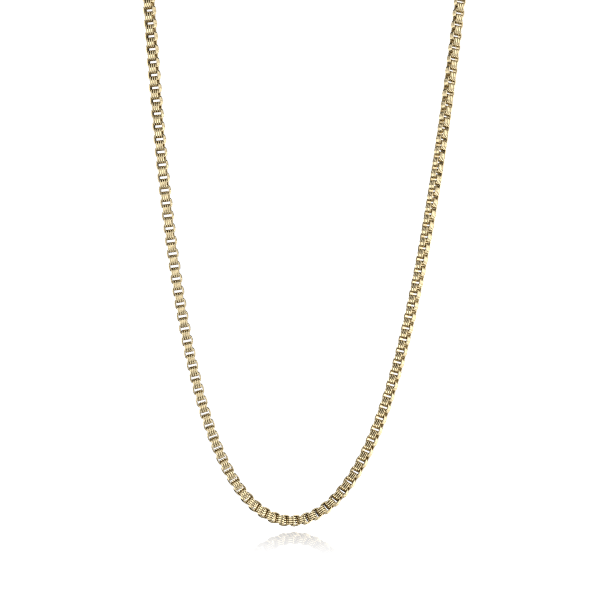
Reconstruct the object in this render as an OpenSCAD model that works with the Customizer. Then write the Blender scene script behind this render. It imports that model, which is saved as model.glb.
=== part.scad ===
// Box chain necklace, a whole closed loop, in millimetres.
// Its front hangs in one upright plane in the curve of a free chain. Above the front each side
// bends back, runs round the neck hollow and ends at the clasp on the nape.
// The origin is the middle of the neck hollow, level with the stretch round the neck.
// +Z is up and the front faces -Y.

/* [Chain] */
// Width of the chain across two opposite flats
chain_width = 3.55; // [2.6:0.05:5]
// How far each long corner of the chain is cut back
corner_cut = 0.6; // [0.2:0.05:0.9]

/* [Front] */
// Chain length from the lowest point to the bend, on each side
front_length = 200; // [140:5:260]
// Radius of the hanging curve at its lowest point
bottom_radius = 19; // [12:0.5:30]
// Radius of the bend that takes the chain back from the front
bend_radius = 12; // [6:0.5:20]

/* [Clasp] */
// Length of the collar that ends each side of the chain
collar_length = 1.6; // [1:0.1:3]
// How far the collar stands out past the chain's corners
collar_rim = 0.1; // [0.05:0.05:0.5]
// Hole of the end loops' eyes and of the clasp's tail eye
eye_hole = 2; // [1.8:0.1:3]
// Wire of the eyes and of the jump ring
eye_wire = 0.8; // [0.6:0.05:0.85]
// Hole of the jump ring
ring_hole = 3; // [2.6:0.1:5]
// Hole of the clasp's claw
claw_hole = 3; // [2.4:0.1:5]
// Wire of the claw
claw_wire = 1.2; // [0.8:0.05:1.3]
// Length of the clasp's body between its tail eye and its claw
body_length = 3; // [2:0.1:6]
// Diameter of the clasp's body at its middle
body_diameter = 2.8; // [1.6:0.1:4]
// Clearance between two linked wires
link_gap = 0.1; // [0.05:0.05:0.3]
// Depth to which soldered pieces run into each other
solder_depth = 0.4; // [0.2:0.05:0.5]

/* [Hidden] */

gold = "#d8b660";
$fn = 48;

// How far the links are turned round the chain's own line, along the front.
// Each row: signed length from the lowest point as a share of front_length, turn in degrees.
// A turn of 0 has a flat facing forwards, and a positive turn takes that flat to the outside.
turns = [
    [-1.00, 49],
    [-0.60, 31],
    [-0.20, 19],
    [-0.12, 12],
    [0.00, -16],
    [0.04, -30],
    [0.10, -46],
    [0.20, -54],
    [0.35, -58],
    [0.55, -67],
    [0.80, -84],
    [1.00, -103],
];

// Steps of the tube along the front, round the bend and round the neck, and the share of the
// front's steps that is even: the rest grow with the distance from the lowest point.
front_steps = 24;
bend_steps = 5;
neck_steps = 9;
even_share = 0.45;

// Rings of the clasp end, named by the radius of their holes and outsides
eye_outside = eye_hole / 2 + eye_wire;
claw_outside = claw_hole / 2 + claw_wire;

// Places along the straight run at the nape, from the left end of the chain
left_eye_at = collar_length + eye_outside - solder_depth;
tail_eye_at = left_eye_at + eye_hole - link_gap;
body_at = tail_eye_at + eye_outside - solder_depth;
claw_at = body_at + body_length + claw_outside;
ring_at = claw_at + claw_hole / 2 + ring_hole / 2 - link_gap;
right_eye_at = ring_at + ring_hole / 2 + eye_hole / 2 - link_gap;
clasp_run = right_eye_at + left_eye_at;

// The curve of a free chain: its distance to the side and its height at a length from its lowest point
function hang_side(length) =
    bottom_radius * ln(length / bottom_radius + norm([length / bottom_radius, 1]));
function hang_height(length) = norm([length, bottom_radius]) - bottom_radius;

// Upper end of the hanging curve, which leans out from upright by top_lean
half_width = hang_side(front_length);
front_height = hang_height(front_length);
top_lean = atan(bottom_radius / front_length);
top_way = [sin(top_lean), 0, cos(top_lean)];

// Stretch round the neck
neck_side = half_width + bend_radius * top_way[0];
neck_radius = neck_side - clasp_run / 2;
low_point = [0, -bend_radius, -front_height - bend_radius * top_way[2]];
bend_start = low_point + [half_width, 0, front_height];
neck_centre = [clasp_run / 2, 0, 0];

// The tube's section, an eight-sided outline with its four wide flats on the chain's width
flat_at = chain_width / 2;
flat_end = chain_width / 2 - corner_cut;
section = [
    [flat_at, -flat_end], [flat_at, flat_end], [flat_end, flat_at], [-flat_end, flat_at],
    [-flat_at, flat_end], [-flat_at, -flat_end], [-flat_end, -flat_at], [flat_end, -flat_at],
];
corner_radius = norm([flat_at, flat_end]);

// A stop is [place, way along the chain, forward side, signed share of the front for its turn].
function front_stop(length) =
    let (
        place = low_point + [hang_side(length), 0, hang_height(length)],
        way = [bottom_radius, 0, length] / norm([length, bottom_radius])
    )
    [place, way, [0, -1, 0], length / front_length];

function bend_stop(angle) =
    let (
        place = bend_start + bend_radius * (sin(angle) * top_way + [0, 1 - cos(angle), 0]),
        way = cos(angle) * top_way + [0, sin(angle), 0],
        forward = sin(angle) * top_way - [0, cos(angle), 0]
    )
    [place, way, forward, 1];

function neck_stop(angle) =
    let (
        out = [cos(angle), sin(angle), 0],
        way = [-sin(angle), cos(angle), 0],
        forward = [0, 0, top_way[2]] + top_way[0] * out
    )
    [neck_centre + neck_radius * out, way, forward, 1];

function grown(share) = even_share * share + (1 - even_share) * share * share;

stops = [
    for (i = [0 : front_steps]) front_stop(front_length * grown(i / front_steps)),
    for (i = [1 : bend_steps]) bend_stop(90 * i / bend_steps),
    for (i = [1 : neck_steps]) neck_stop(90 * i / neck_steps),
];

// The points of one ring of the tube, turned as the links are
function ring_points(stop, side) =
    let (
        turn = lookup(side * stop[3], turns),
        outside = cross(stop[1], stop[2]),
        u = cos(turn) * stop[2] + sin(turn) * outside,
        v = cross(stop[1], u)
    )
    [for (corner = section) stop[0] + corner[0] * u + corner[1] * v];

// Half of the chain at +X. side is 1, or -1 for the half that is mirrored afterwards.
module chain_half(side) {
    sides = len(section);
    last = len(stops) - 1;
    points = [for (stop = stops) each ring_points(stop, side)];
    walls = [
        for (i = [0 : last - 1], j = [0 : sides - 1])
            let (k = (j + 1) % sides, a = i * sides, b = a + sides)
            each [[a + j, b + j, b + k], [a + j, b + k, a + k]]
    ];
    start_cap = [for (j = [0 : sides - 1]) j];
    end_cap = [for (j = [sides - 1 : -1 : 0]) last * sides + j];
    polyhedron(points, concat([start_cap, end_cap], walls));
}

// A ring of round wire round the Z axis
module wire_ring(hole, wire) {
    rotate_extrude()
        translate([(hole + wire) / 2, 0])
            circle(d = wire);
}

// Puts its children on the straight run at the nape, at a length from the chain's left end
module on_run(length) {
    translate([length - clasp_run / 2, neck_radius, 0])
        children();
}

// The collar that closes the chain's end and the eye soldered to it
module end_loop(eye_at, eye_tilt) {
    on_run(0)
        rotate([0, 90, 0])
            cylinder(h = collar_length, r = corner_radius + collar_rim);
    on_run(eye_at)
        rotate([eye_tilt, 0, 0])
            wire_ring(eye_hole, eye_wire);
}

module chain_left() {
    color(gold)
        mirror([1, 0, 0])
            chain_half(-1);
}

module chain_right() {
    color(gold)
        chain_half(1);
}

module end_loop_left() {
    color(gold)
        end_loop(left_eye_at, 0);
}

module end_loop_right() {
    color(gold)
        mirror([1, 0, 0])
            end_loop(left_eye_at, 90);
}

// A plain clasp in one piece: tail eye, turned body and closed claw
module clasp() {
    color(gold) {
        on_run(tail_eye_at)
            rotate([90, 0, 0])
                wire_ring(eye_hole, eye_wire);
        on_run(body_at)
            rotate([0, 90, 0])
                clasp_body();
        on_run(claw_at)
            rotate([90, 0, 0])
                wire_ring(claw_hole, claw_wire);
    }
}

// The turned body: a barrel with round sides and flat ends
module clasp_body() {
    length = body_length + solder_depth;
    end_radius = eye_wire;
    bulge = body_diameter / 2 - end_radius;
    side_radius = (length * length / 4 + bulge * bulge) / (2 * bulge);
    rotate_extrude()
        intersection() {
            square([body_diameter, length]);
            translate([body_diameter / 2 - side_radius, length / 2])
                circle(side_radius);
        }
}

module jump_ring() {
    color(gold)
        on_run(ring_at)
            wire_ring(ring_hole, eye_wire);
}

chain_left();
chain_right();
end_loop_left();
end_loop_right();
clasp();
jump_ring();
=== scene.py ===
"""Looks of a box chain necklace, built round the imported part: lengths in metres, in the part's frame."""

import math

import bpy
import numpy as np
from mathutils import Matrix, Vector


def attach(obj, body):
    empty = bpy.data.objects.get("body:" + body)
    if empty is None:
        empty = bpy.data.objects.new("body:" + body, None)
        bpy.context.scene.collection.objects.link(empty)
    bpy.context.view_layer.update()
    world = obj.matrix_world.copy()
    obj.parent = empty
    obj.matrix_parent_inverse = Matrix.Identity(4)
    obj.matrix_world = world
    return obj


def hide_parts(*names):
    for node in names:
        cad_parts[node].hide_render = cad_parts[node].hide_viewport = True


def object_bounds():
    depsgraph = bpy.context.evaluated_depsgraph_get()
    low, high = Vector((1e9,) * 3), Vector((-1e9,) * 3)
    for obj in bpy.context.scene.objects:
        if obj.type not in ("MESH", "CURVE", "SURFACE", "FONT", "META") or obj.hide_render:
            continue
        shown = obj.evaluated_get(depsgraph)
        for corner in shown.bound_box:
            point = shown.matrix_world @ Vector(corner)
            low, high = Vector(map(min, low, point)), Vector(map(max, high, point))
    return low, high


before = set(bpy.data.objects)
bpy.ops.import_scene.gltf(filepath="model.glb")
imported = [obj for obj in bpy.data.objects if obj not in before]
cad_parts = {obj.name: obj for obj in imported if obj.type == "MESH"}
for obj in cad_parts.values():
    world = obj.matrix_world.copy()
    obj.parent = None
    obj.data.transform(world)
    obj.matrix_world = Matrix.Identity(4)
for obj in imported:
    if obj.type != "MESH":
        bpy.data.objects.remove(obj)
cad_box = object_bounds()

MM = 0.001
WHITE = (1, 1, 1, 1)

# The chain's route, with the same sizes as the part's source
BOTTOM_RADIUS = 19.0 * MM
FRONT_LENGTH = 200 * MM
BEND_RADIUS = 12 * MM
CLASP_RUN = 20.3 * MM

# One link: a ring of parallel wires soldered side by side, a little longer across the chain than along
# it. Its sides and ends bulge out from straight lines between its corners.
LINK_STEP = 2.0 * MM
LINK_LENGTH = 3.38 * MM
LINK_DEPTH = 3.55 * MM
LINK_CORNER = 1.12 * MM
SIDE_BULGE = 0.06 * MM
END_BULGE = 0.02 * MM

# Its wires: how thick they are, how far apart, how far the two outermost reach past their middles, and
# how deep the grooves between them are. A squareness of 1 makes them round, and less makes them squarer.
WIRES = 4
WALL = 0.415 * MM
WIRE_STEP = 0.68 * MM
EDGE_HALF = 0.12 * MM
GROOVE_DEPTH = 0.23 * MM
SQUARENESS = 0.9

# How much is cut off the two inner edges of the ring, which is flat inside
INSIDE_EDGE = 0.12 * MM

# Recess, the share of the dark gold that paints shade, and of the extra roughness: 1 at the bottom of a
# groove, 0 on top of a wire, and even inside the ring. The higher the power, the closer it keeps to the
# groove.
RECESS_POWER = 3
INSIDE_RECESS = 0.55

# Steps of a link's mesh: over each wire, round a corner, and along half a side and half an end
WIRE_STEPS = 6
CORNER_STEPS = 6
SIDE_STEPS = 3
END_STEPS = 2

# Signed distance of link 0 from the lowest point. Links with even numbers have a ridged side to the
# front, but for their turn.
PHASE = -1.25 * MM

# How many links are joined in one piece at most
LINKS_PER_PIECE = 60

# Each link is turned at random by up to this many degrees more, as loose links are
LOOSENESS = 0.8
SEED = 7

# Turn of the links round the chain's own line: signed length from the lowest point as a share of
# FRONT_LENGTH, and the turn in degrees, which takes the flat at the front to the outside
TURNS = [
    (-1.00, 49),
    (-0.60, 31),
    (-0.20, 19),
    (-0.12, 12),
    (0.00, -16),
    (0.04, -30),
    (0.10, -46),
    (0.20, -54),
    (0.35, -58),
    (0.55, -67),
    (0.80, -84),
    (1.00, -103),
]

# Gold: its colour on top of the wires, and the darker colour of painted shade in full recess; its
# roughness where it is smooth and where it is worn, and how much rougher it is in full recess
GOLD = (0.9, 0.755, 0.465, 1)
PAINTED_SHADE_GOLD = (0.24, 0.175, 0.09, 1)
SMOOTH_ROUGHNESS = 0.1
WORN_ROUGHNESS = 0.18
RECESS_ROUGHNESS = 0.2

# The noise that spreads the wear: its scale, and the values at which the gold is smooth and is worn
CLOUD_SCALE = 900
CLOUD_SMOOTH = 0.3
CLOUD_WORN = 0.7

# The camera of the photograph
CAMERA_AT = Vector((-227.3, -465.4, -117.3)) * MM
CAMERA_TARGET = Vector((-0.2, -12.0, -121.3)) * MM
CAMERA_ROLL = math.radians(1.91)
CAMERA_LENS = 92.8
CAMERA_NEAR = 0.01
CAMERA_FAR = 50
SENSOR = 36.0

# A narrow filter, in pixels, because the ridges are only two pixels apart
PIXEL_FILTER = 1.1

# White paper: how bright it is. It is all that the camera sees behind the chain.
PAPER_BRIGHTNESS = 1.05

# The part of the paper that is the floor: its distance under the chain, its size, how strongly it
# mirrors the lowest link, and how far from there the mirror fades out
FLOOR_GAP = 0.8 * MM
FLOOR_SIZE = 1.6
FLOOR_GLOSS = 0.5
REFLECTION_REACH = 50 * MM

# Studio: how bright the room is between the lights, and the soft lights, which stand round one point.
# An area light shows as bright as 1 when it has this many watts to the square metre.
ROOM_BRIGHTNESS = 0.02
WATTS_FOR_WHITE = 4
LIGHT_CENTRE = Vector((0, 0, -0.1))
LIGHT_DISTANCE = 1.0
SOFTBOXES = [
    # name, azimuth, elevation, width, height, brightness
    ("front_light", 17, 4, 0.7, 1.3, 1.05),
    ("front_left_light", -29, 6, 0.5, 1.0, 0.42),
    ("front_right_light", 50, 24, 0.45, 0.9, 1.7),
    ("right_light", 88, 3, 0.45, 1.4, 1.8),
    ("right_back_light", 118, -28, 0.55, 1.4, 2.5),
    ("right_high_light", 114, 30, 0.45, 0.6, 0.7),
    ("left_back_light", -132, 8, 0.7, 0.9, 1.6),
    ("backdrop_light", 180, 6, 0.5, 0.7, 0.8),
    ("left_low_light", -66, -14, 0.8, 0.8, 2.4),
    ("low_front_light", 10, -45, 1.0, 0.3, 1.1),
    ("floor_light", 0, -86, 0.8, 0.8, 0.8),
    ("top_light", 20, 64, 0.6, 0.35, 1.3),
]


def hang_side(length):
    """How far a free chain has gone to the side, at a length from its lowest point."""
    return BOTTOM_RADIUS * math.asinh(length / BOTTOM_RADIUS)


def hang_height(length):
    """How far a free chain has risen, at a length from its lowest point."""
    return math.hypot(length, BOTTOM_RADIUS) - BOTTOM_RADIUS


# The route worked out from its sizes: the upper end of the hanging curve, the bend that takes the
# chain back from there, and the stretch round the neck
TOP_LEAN = math.atan(BOTTOM_RADIUS / FRONT_LENGTH)
TOP_WAY = Vector((math.sin(TOP_LEAN), 0, math.cos(TOP_LEAN)))
HALF_WIDTH = hang_side(FRONT_LENGTH)
NECK_RADIUS = HALF_WIDTH + BEND_RADIUS * TOP_WAY.x - CLASP_RUN / 2
LOW_POINT = Vector((0, -BEND_RADIUS, -hang_height(FRONT_LENGTH) - BEND_RADIUS * TOP_WAY.z))
BEND_START = LOW_POINT + Vector((HALF_WIDTH, 0, hang_height(FRONT_LENGTH)))
NECK_CENTRE = Vector((CLASP_RUN / 2, 0, 0))
BEND_LENGTH = BEND_RADIUS * math.pi / 2
NECK_LENGTH = NECK_RADIUS * math.pi / 2
HALF_LENGTH = FRONT_LENGTH + BEND_LENGTH + NECK_LENGTH

# The links that have their middles on the route, numbered from the left end to the right end
FIRST_LINK = math.ceil((-HALF_LENGTH - PHASE) / LINK_STEP)
LAST_LINK = math.floor((HALF_LENGTH - PHASE) / LINK_STEP)


def right_stop(length):
    """Place, way along the chain and forward side on the right half, at a length from its lowest point."""
    if length <= FRONT_LENGTH:
        place = LOW_POINT + Vector((hang_side(length), 0, hang_height(length)))
        way = Vector((BOTTOM_RADIUS, 0, length)).normalized()
        return place, way, Vector((0, -1, 0))
    if length <= FRONT_LENGTH + BEND_LENGTH:
        angle = (length - FRONT_LENGTH) / BEND_RADIUS
        back = Vector((0, 1, 0))
        place = BEND_START + BEND_RADIUS * (math.sin(angle) * TOP_WAY + (1 - math.cos(angle)) * back)
        way = math.cos(angle) * TOP_WAY + math.sin(angle) * back
        forward = math.sin(angle) * TOP_WAY - math.cos(angle) * back
        return place, way, forward
    angle = (length - FRONT_LENGTH - BEND_LENGTH) / NECK_RADIUS
    out = Vector((math.cos(angle), math.sin(angle), 0))
    way = Vector((-math.sin(angle), math.cos(angle), 0))
    forward = Vector((0, 0, TOP_WAY.z)) + TOP_WAY.x * out
    return NECK_CENTRE + NECK_RADIUS * out, way, forward


def turn_at(length):
    """Turn of the links in radians, at a signed length from the lowest point."""
    shares, turns = zip(*TURNS)
    return math.radians(float(np.interp(length / FRONT_LENGTH, shares, turns)))


def link_axes(length):
    """Place, way along the chain, flat's direction and the direction across, at a signed length."""
    place, way, forward = right_stop(abs(length))
    turn = turn_at(length)
    flat = math.cos(turn) * forward + math.sin(turn) * way.cross(forward)
    across = way.cross(flat)
    if length < 0:
        flip = Matrix.Diagonal((-1, 1, 1))
        return flip @ place, -(flip @ way), flip @ flat, flip @ across
    return place, way, flat, across


def ring_outline():
    """Outline of a link in its own plane, as points (along, out) in order round the ring."""
    half_along = LINK_LENGTH / 2 - END_BULGE - LINK_CORNER
    half_out = LINK_DEPTH / 2 - SIDE_BULGE - LINK_CORNER
    quarter = []
    for i in range(1, SIDE_STEPS + 1):
        share = i / SIDE_STEPS
        rise = SIDE_BULGE * (1 - share * share)
        quarter.append((half_along * share, LINK_DEPTH / 2 - SIDE_BULGE + rise))
    for i in range(1, CORNER_STEPS + 1):
        angle = math.pi / 2 * i / CORNER_STEPS
        along = half_along + LINK_CORNER * math.sin(angle)
        out = half_out + LINK_CORNER * math.cos(angle)
        quarter.append((along, out))
    for i in range(1, END_STEPS):
        share = 1 - i / END_STEPS
        rise = END_BULGE * (1 - share * share)
        quarter.append((LINK_LENGTH / 2 - END_BULGE + rise, half_out * share))
    top = (0, LINK_DEPTH / 2)
    tip = (LINK_LENGTH / 2, 0)
    right = [top, *quarter, tip] + [(x, -y) for x, y in reversed(quarter)]
    return np.array(right + [(-x, -y) for x, y in right])


def wire_rows(wire):
    """Rows over one wire, from groove to groove: across the link, depth under its top, and recess."""
    middle = (wire - (WIRES - 1) / 2) * WIRE_STEP
    rows = []
    for angle in np.linspace(-math.pi / 2, math.pi / 2, WIRE_STEPS + 1):
        out = math.copysign(abs(math.sin(angle)) ** SQUARENESS, angle)
        down = 1 - max(0.0, math.cos(angle)) ** SQUARENESS
        at_edge = wire == 0 and out < 0 or wire == WIRES - 1 and out > 0
        half = EDGE_HALF if at_edge else WIRE_STEP / 2
        rows.append((middle + half * out, GROOVE_DEPTH * down, abs(out) ** RECESS_POWER))
    return rows


def outer_rows():
    """Rows over all wires, side by side. The two outer edges of the link are no grooves."""
    rows = wire_rows(0)
    for wire in range(1, WIRES):
        rows += wire_rows(wire)[1:]
    rows = np.array(rows)
    rows[[0, -1], 2] = 0
    return rows


def wire_section():
    """Outline round the wires, as rows (across the link, depth under its outermost line, recess)."""
    outside = outer_rows()
    edge = outside[-1, 0]
    # The last of these rows keeps the smooth shading of the edge off the flat inside
    inside = [(edge, WALL - INSIDE_EDGE), (edge - INSIDE_EDGE, WALL), (edge - 2 * INSIDE_EDGE, WALL)]
    inside += [(-across, depth) for across, depth in reversed(inside)]
    return np.concatenate([outside, [(across, depth, INSIDE_RECESS) for across, depth in inside]])


def link_mesh():
    """Points, quads and recesses of one link: x along the chain, y out in its plane, z across it."""
    outline = ring_outline()
    tangent = np.roll(outline, -1, axis=0) - np.roll(outline, 1, axis=0)
    tangent /= np.linalg.norm(tangent, axis=1)[:, None]
    outward = np.stack([-tangent[:, 1], tangent[:, 0]], axis=1)
    section = wire_section()
    rings, sides = len(outline), len(section)
    in_plane = outline[:, None, :] - outward[:, None, :] * section[None, :, 1, None]
    across = np.broadcast_to(section[None, :, 0, None], (rings, sides, 1))
    points = np.concatenate([in_plane, across], axis=2).reshape(-1, 3)
    ring = np.arange(rings)[:, None] * sides
    next_ring = np.roll(ring, -1, axis=0)
    side = np.arange(sides)[None, :]
    next_side = np.roll(side, -1, axis=1)
    quads = np.stack([ring + side, ring + next_side, next_ring + next_side, next_ring + side], axis=2)
    return points, quads.reshape(-1, 4), np.tile(section[:, 2], rings)


def new_mesh(name, points, quads, recess):
    """A smooth piece of quads with a recess at each point, and sharp edges along the full recesses."""
    mesh = bpy.data.meshes.new(name)
    mesh.vertices.add(len(points))
    mesh.vertices.foreach_set("co", np.asarray(points, np.float32).ravel())
    mesh.loops.add(quads.size)
    mesh.loops.foreach_set("vertex_index", quads.astype(np.int32).ravel())
    mesh.polygons.add(len(quads))
    mesh.polygons.foreach_set("loop_start", np.arange(0, quads.size, 4, dtype=np.int32))
    mesh.update(calc_edges=True)
    mesh.validate()
    mesh.polygons.foreach_set("use_smooth", np.ones(len(mesh.polygons), bool))
    ends = np.empty(len(mesh.edges) * 2, np.int32)
    mesh.edges.foreach_get("vertices", ends)
    groove = (recess[ends.reshape(-1, 2)] == 1).all(axis=1)
    mesh.attributes.new("sharp_edge", "BOOLEAN", "EDGE").data.foreach_set("value", groove)
    mesh.attributes.new("recess", "FLOAT", "POINT").data.foreach_set("value", recess.astype(np.float32))
    piece = bpy.data.objects.new(name, mesh)
    bpy.context.scene.collection.objects.link(piece)
    return piece


def gold_material(name, recessed):
    """Polished yellow gold, uneven in its gloss. If it is recessed, painted shade darkens its recesses,
    which are duller too.
    """
    material = bpy.data.materials.new(name)
    material.use_nodes = True
    nodes, links = material.node_tree.nodes, material.node_tree.links
    shader = nodes["Principled BSDF"]
    shader.inputs["Metallic"].default_value = 1
    shader.inputs["Base Color"].default_value = GOLD
    place = nodes.new("ShaderNodeTexCoord")
    cloud = nodes.new("ShaderNodeTexNoise")
    cloud.inputs["Scale"].default_value = CLOUD_SCALE
    links.new(place.outputs["Object"], cloud.inputs["Vector"])
    gloss = nodes.new("ShaderNodeMapRange")
    gloss.inputs["From Min"].default_value = CLOUD_SMOOTH
    gloss.inputs["From Max"].default_value = CLOUD_WORN
    gloss.inputs["To Min"].default_value = SMOOTH_ROUGHNESS
    gloss.inputs["To Max"].default_value = WORN_ROUGHNESS
    links.new(cloud.outputs["Fac"], gloss.inputs["Value"])
    links.new(gloss.outputs["Result"], shader.inputs["Roughness"])
    if recessed:
        # The recess mixes painted shade into the colour of the grooves and of the inside of the ring
        depth = nodes.new("ShaderNodeAttribute")
        depth.attribute_name = "recess"
        painted_shade = nodes.new("ShaderNodeMix")
        painted_shade.data_type = "RGBA"
        painted_shade.inputs["A"].default_value = GOLD
        painted_shade.inputs["B"].default_value = PAINTED_SHADE_GOLD
        links.new(depth.outputs["Fac"], painted_shade.inputs["Factor"])
        links.new(painted_shade.outputs["Result"], shader.inputs["Base Color"])
        dull = nodes.new("ShaderNodeMath")
        dull.operation = "MULTIPLY_ADD"
        dull.inputs[1].default_value = RECESS_ROUGHNESS
        links.new(depth.outputs["Fac"], dull.inputs[0])
        links.new(gloss.outputs["Result"], dull.inputs[2])
        links.new(dull.outputs["Value"], shader.inputs["Roughness"])
    return material


def placed_link(points, number, chance):
    """Points of one link in its place on the chain. Every other link is turned by a quarter."""
    place, way, flat, across = link_axes(PHASE + number * LINK_STEP)
    if number % 2:
        flat, across = across, -flat
    swing = Matrix.Rotation(math.radians(chance.uniform(-LOOSENESS, LOOSENESS)), 3, way)
    return points @ np.array([way, swing @ flat, swing @ across]) + np.array(place)


def build_chain():
    """The links from the left end to the right end, joined in a few pieces."""
    points, quads, recess = link_mesh()
    gold = gold_material("chain_gold", True)
    chance = np.random.default_rng(SEED)
    starts = range(FIRST_LINK, LAST_LINK + 1, LINKS_PER_PIECE)
    for piece_number, start in enumerate(starts, start=1):
        numbers = range(start, min(start + LINKS_PER_PIECE, LAST_LINK + 1))
        all_points = np.concatenate([placed_link(points, number, chance) for number in numbers])
        all_quads = np.concatenate([quads + k * len(points) for k in range(len(numbers))])
        piece = new_mesh(f"links_{piece_number}", all_points, all_quads, np.tile(recess, len(numbers)))
        piece.data.materials.append(gold)
        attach(piece, "root")
        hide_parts("chain_left", "chain_right")


def plate_clasp():
    """Gives the clasp, its ring and the end loops the same gold, polished all over."""
    gold = gold_material("clasp_gold", False)
    for node in ("end_loop_left", "end_loop_right", "clasp", "jump_ring"):
        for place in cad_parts[node].material_slots:
            place.material = gold


def build_camera():
    """The camera of the photograph, which is rolled a little to one side."""
    forward = (CAMERA_TARGET - CAMERA_AT).normalized()
    level = forward.cross(Vector((0, 0, 1))).normalized()
    upright = level.cross(forward)
    right = math.cos(CAMERA_ROLL) * level + math.sin(CAMERA_ROLL) * upright
    up = math.cos(CAMERA_ROLL) * upright - math.sin(CAMERA_ROLL) * level
    data = bpy.data.cameras.new("camera")
    data.lens = CAMERA_LENS
    data.sensor_width = SENSOR
    data.clip_start = CAMERA_NEAR
    data.clip_end = CAMERA_FAR
    camera = bpy.data.objects.new("camera", data)
    axes = Matrix((right, up, -forward)).transposed().to_4x4()
    camera.matrix_world = Matrix.Translation(CAMERA_AT) @ axes
    bpy.context.scene.collection.objects.link(camera)
    bpy.context.scene.camera = camera


def floor_material(height):
    """White paper with a sharp mirror in it, which fades out with the distance from the lowest link."""
    material = bpy.data.materials.new("floor")
    material.use_nodes = True
    nodes, links = material.node_tree.nodes, material.node_tree.links
    paper = nodes.new("ShaderNodeEmission")
    paper.inputs["Strength"].default_value = PAPER_BRIGHTNESS
    gloss = nodes.new("ShaderNodeBsdfGlossy")
    gloss.inputs["Color"].default_value = WHITE
    gloss.inputs["Roughness"].default_value = 0
    mix = nodes.new("ShaderNodeMixShader")
    place = nodes.new("ShaderNodeTexCoord")
    away = nodes.new("ShaderNodeVectorMath")
    away.operation = "DISTANCE"
    away.inputs[1].default_value = (LOW_POINT.x, LOW_POINT.y, height)
    fade = nodes.new("ShaderNodeMapRange")
    fade.inputs["From Min"].default_value = REFLECTION_REACH
    fade.inputs["From Max"].default_value = 0
    fade.inputs["To Max"].default_value = FLOOR_GLOSS
    links.new(place.outputs["Object"], away.inputs[0])
    links.new(away.outputs["Value"], fade.inputs["Value"])
    links.new(fade.outputs["Result"], mix.inputs["Fac"])
    links.new(paper.outputs["Emission"], mix.inputs[1])
    links.new(gloss.outputs["BSDF"], mix.inputs[2])
    links.new(mix.outputs["Shader"], nodes["Material Output"].inputs["Surface"])
    return material


def build_floor():
    """The floor. The gold doesn't see it, so the lights under it reach the chain."""
    height = cad_box[0][2] - FLOOR_GAP
    half = FLOOR_SIZE / 2
    corners = [(-half, -half), (half, -half), (half, half), (-half, half)]
    mesh = bpy.data.meshes.new("floor")
    mesh.from_pydata([(x, y, height) for x, y in corners], [], [(0, 1, 2, 3)])
    mesh.materials.append(floor_material(height))
    floor = bpy.data.objects.new("floor", mesh)
    bpy.context.scene.collection.objects.link(floor)
    floor.visible_glossy = False
    floor.visible_diffuse = False
    floor.visible_shadow = False


def build_room():
    """A room that is white to the camera and in the floor's mirror, and dark to the gold.

    The floor's mirror is the only perfectly sharp one, so only its rays are singular.
    """
    world = bpy.data.worlds.new("studio")
    bpy.context.scene.world = world
    world.use_nodes = True
    nodes, links = world.node_tree.nodes, world.node_tree.links
    room = nodes["Background"]
    room.inputs["Color"].default_value = WHITE
    room.inputs["Strength"].default_value = ROOM_BRIGHTNESS
    paper = nodes.new("ShaderNodeBackground")
    paper.inputs["Color"].default_value = WHITE
    paper.inputs["Strength"].default_value = PAPER_BRIGHTNESS
    path = nodes.new("ShaderNodeLightPath")
    seen = nodes.new("ShaderNodeMath")
    seen.operation = "MAXIMUM"
    mix = nodes.new("ShaderNodeMixShader")
    links.new(path.outputs["Is Camera Ray"], seen.inputs[0])
    links.new(path.outputs["Is Singular Ray"], seen.inputs[1])
    links.new(seen.outputs["Value"], mix.inputs["Fac"])
    links.new(room.outputs["Background"], mix.inputs[1])
    links.new(paper.outputs["Background"], mix.inputs[2])
    links.new(mix.outputs["Shader"], nodes["World Output"].inputs["Surface"])


def softbox(name, azimuth, elevation, width, height, brightness):
    """A soft light that faces the chain. Azimuth 0 is behind the camera, and 90 at its right."""
    view = CAMERA_TARGET - CAMERA_AT
    heading = math.atan2(view.y, view.x) + math.radians(180 + azimuth)
    tilt = math.radians(elevation)
    level = math.cos(tilt)
    outward = Vector((math.cos(heading) * level, math.sin(heading) * level, math.sin(tilt)))
    data = bpy.data.lights.new(name, "AREA")
    data.shape = "RECTANGLE"
    data.size = width
    data.size_y = height
    data.energy = WATTS_FOR_WHITE * brightness * width * height
    light = bpy.data.objects.new(name, data)
    axes = outward.to_track_quat("Z", "Y").to_matrix().to_4x4()
    light.matrix_world = Matrix.Translation(LIGHT_CENTRE + outward * LIGHT_DISTANCE) @ axes
    light.visible_camera = False
    bpy.context.scene.collection.objects.link(light)


def set_picture():
    """Colours as the lights make them, and no denoiser, because it wipes the ridges out."""
    scene = bpy.context.scene
    scene.view_settings.view_transform = "Standard"
    scene.cycles.use_denoising = False
    scene.cycles.filter_width = PIXEL_FILTER


build_camera()
build_chain()
plate_clasp()
build_floor()
build_room()
for row in SOFTBOXES:
    softbox(*row)
set_picture()
